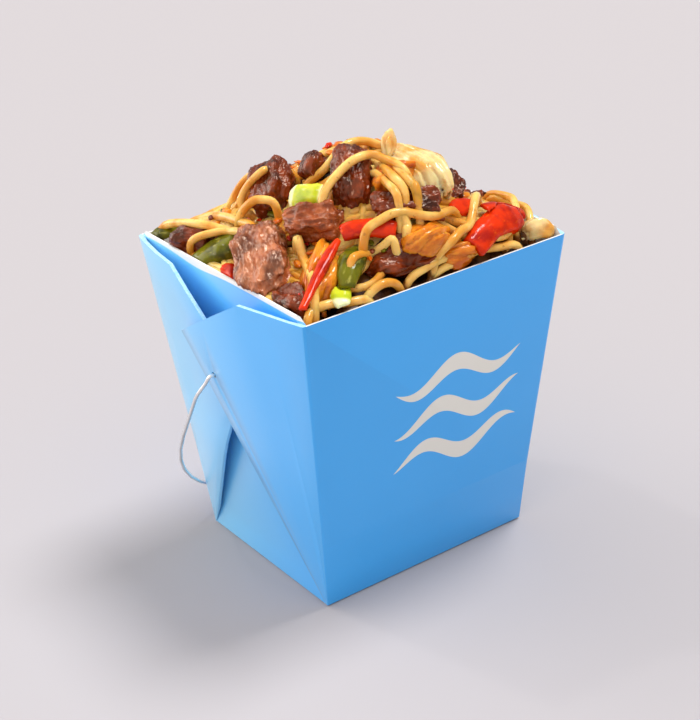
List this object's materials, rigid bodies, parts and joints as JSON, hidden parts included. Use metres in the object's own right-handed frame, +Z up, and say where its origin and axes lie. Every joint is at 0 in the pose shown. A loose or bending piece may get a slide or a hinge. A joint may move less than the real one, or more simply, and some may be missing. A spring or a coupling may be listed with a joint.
{
  "type": "noodle takeaway box",
  "caption": "Folded paperboard takeaway pail with a swinging wire handle, heaped with noodles, beef, peppers and onion.",
  "frame": {"origin": "bottom centre of the box, on the surface it stands on", "axes": "+Z up, -Y out of the plain front panel, X through the two folded side panels and along the handle's hinge line"},
  "size_m": [0.1122, 0.0911, 0.1362],
  "materials": {
    "printed_board": "satin print",
    "noodle": "oiled, moist",
    "beef": "glazed, moist",
    "red_pepper": "glossy skin",
    "green_pepper": "glossy skin",
    "onion": "glossy, translucent",
    "steel_wire": "bright drawn wire"
  },
  "bodies": {
    "box": {"carton": "printed_board", "noodle_heap": "noodle", "beef_large_left": "beef", "onion_front": "onion", "pepper_strip_front": "red_pepper", "beef_mid_left": "beef", "leek_bright": "green_pepper", "pepper_strip_long": "red_pepper", "beef_arch": "beef", "beef_slab": "beef", "onion_large": "onion", "onion_amber": "onion", "beef_front": "beef", "onion_mid": "onion", "pepper_strip_bent": "red_pepper", "pepper_strip_right": "red_pepper", "pepper_mid": "red_pepper", "beef_back_right": "beef", "beef_tall_left": "beef", "beef_small_back": "beef", "beef_far_left": "beef", "pepper_green_left": "green_pepper", "pepper_green_mid": "green_pepper", "pepper_green_front": "green_pepper", "beef_corner": "beef", "onion_front_right": "onion", "onion_right": "onion", "pepper_small_left": "red_pepper", "onion_tip": "onion", "pepper_olive_corner": "green_pepper", "beef_back_middle": "beef", "beef_back_corner": "beef", "onion_back": "onion", "pepper_strip_back": "red_pepper", "pepper_green_back": "green_pepper", "onion_side": "onion"},
    "handle": {"wire_handle": "steel_wire"}
  },
  "joints": [
    {"name": "handle_swing", "type": "hinge", "parent": "box", "child": "handle", "pos_m": [0, 0, 0.0718], "axis": [1, 0, 0], "range_deg": [0, 297]}
  ]
}
